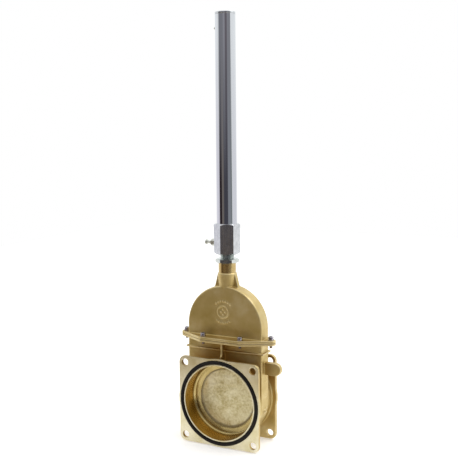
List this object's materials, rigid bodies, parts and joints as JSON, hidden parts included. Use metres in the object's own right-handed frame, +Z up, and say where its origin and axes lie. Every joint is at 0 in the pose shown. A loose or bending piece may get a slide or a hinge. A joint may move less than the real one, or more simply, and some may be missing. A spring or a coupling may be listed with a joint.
{
  "type": "hydraulic gate valve",
  "caption": "Cast brass sliding-gate pipe valve with square bolt flanges, a hollow arched bonnet and a slim hydraulic cylinder that lifts the gate.",
  "frame": {"origin": "centre of the rear flange's outer face, on the pipe's axis", "axes": "+Z up along the hydraulic cylinder, +Y out of the rear flange along the pipe, +X to the side with the lug"},
  "size_m": [0.2213, 0.091, 0.852],
  "materials": {
    "cast_brass": "sand cast, lightly blasted",
    "turned_brass": "turned",
    "rough_brass": "rough cast",
    "chromed_steel": "ground and chromed",
    "bright_steel": "drawn bright bar",
    "plated_steel": "zinc plated",
    "fitting_steel": "dull plated",
    "black_rubber": "matte",
    "gasket_sheet": "matte fibre sheet"
  },
  "bodies": {
    "valve": {"valve_body": "cast_brass", "front_pipe_flange": "cast_brass", "rear_pipe_flange": "cast_brass", "bonnet": "cast_brass", "bonnet_gasket": "gasket_sheet", "front_seat_ring": "turned_brass", "rear_seat_ring": "turned_brass", "front_pipe_seal": "black_rubber", "rear_pipe_seal": "black_rubber", "guide_bush": "turned_brass", "rod_seal": "black_rubber", "cylinder_head": "bright_steel", "lock_nut": "plated_steel", "cylinder_tube": "chromed_steel", "cylinder_cap": "bright_steel", "vent_plug": "fitting_steel", "port_adapter": "fitting_steel", "port_nipple": "fitting_steel", "bonnet_screw_front_left": "plated_steel", "bonnet_screw_front_right": "plated_steel", "bonnet_screw_left_end": "plated_steel", "bonnet_screw_right_end": "plated_steel", "bonnet_screw_rear_left": "plated_steel", "bonnet_screw_rear_right": "plated_steel", "bonnet_washer_front_left": "plated_steel", "bonnet_washer_front_right": "plated_steel", "bonnet_washer_left_end": "plated_steel", "bonnet_washer_right_end": "plated_steel", "bonnet_washer_rear_left": "plated_steel", "bonnet_washer_rear_right": "plated_steel"},
    "gate_and_rod": {"gate": "rough_brass", "piston_rod": "chromed_steel", "piston": "plated_steel", "piston_seal": "black_rubber", "piston_nut": "plated_steel"}
  },
  "joints": [
    {"name": "gate_slide", "type": "slide", "parent": "valve", "child": "gate_and_rod", "axis": [0, 0, 1], "range_m": [0, 0.146]}
  ]
}
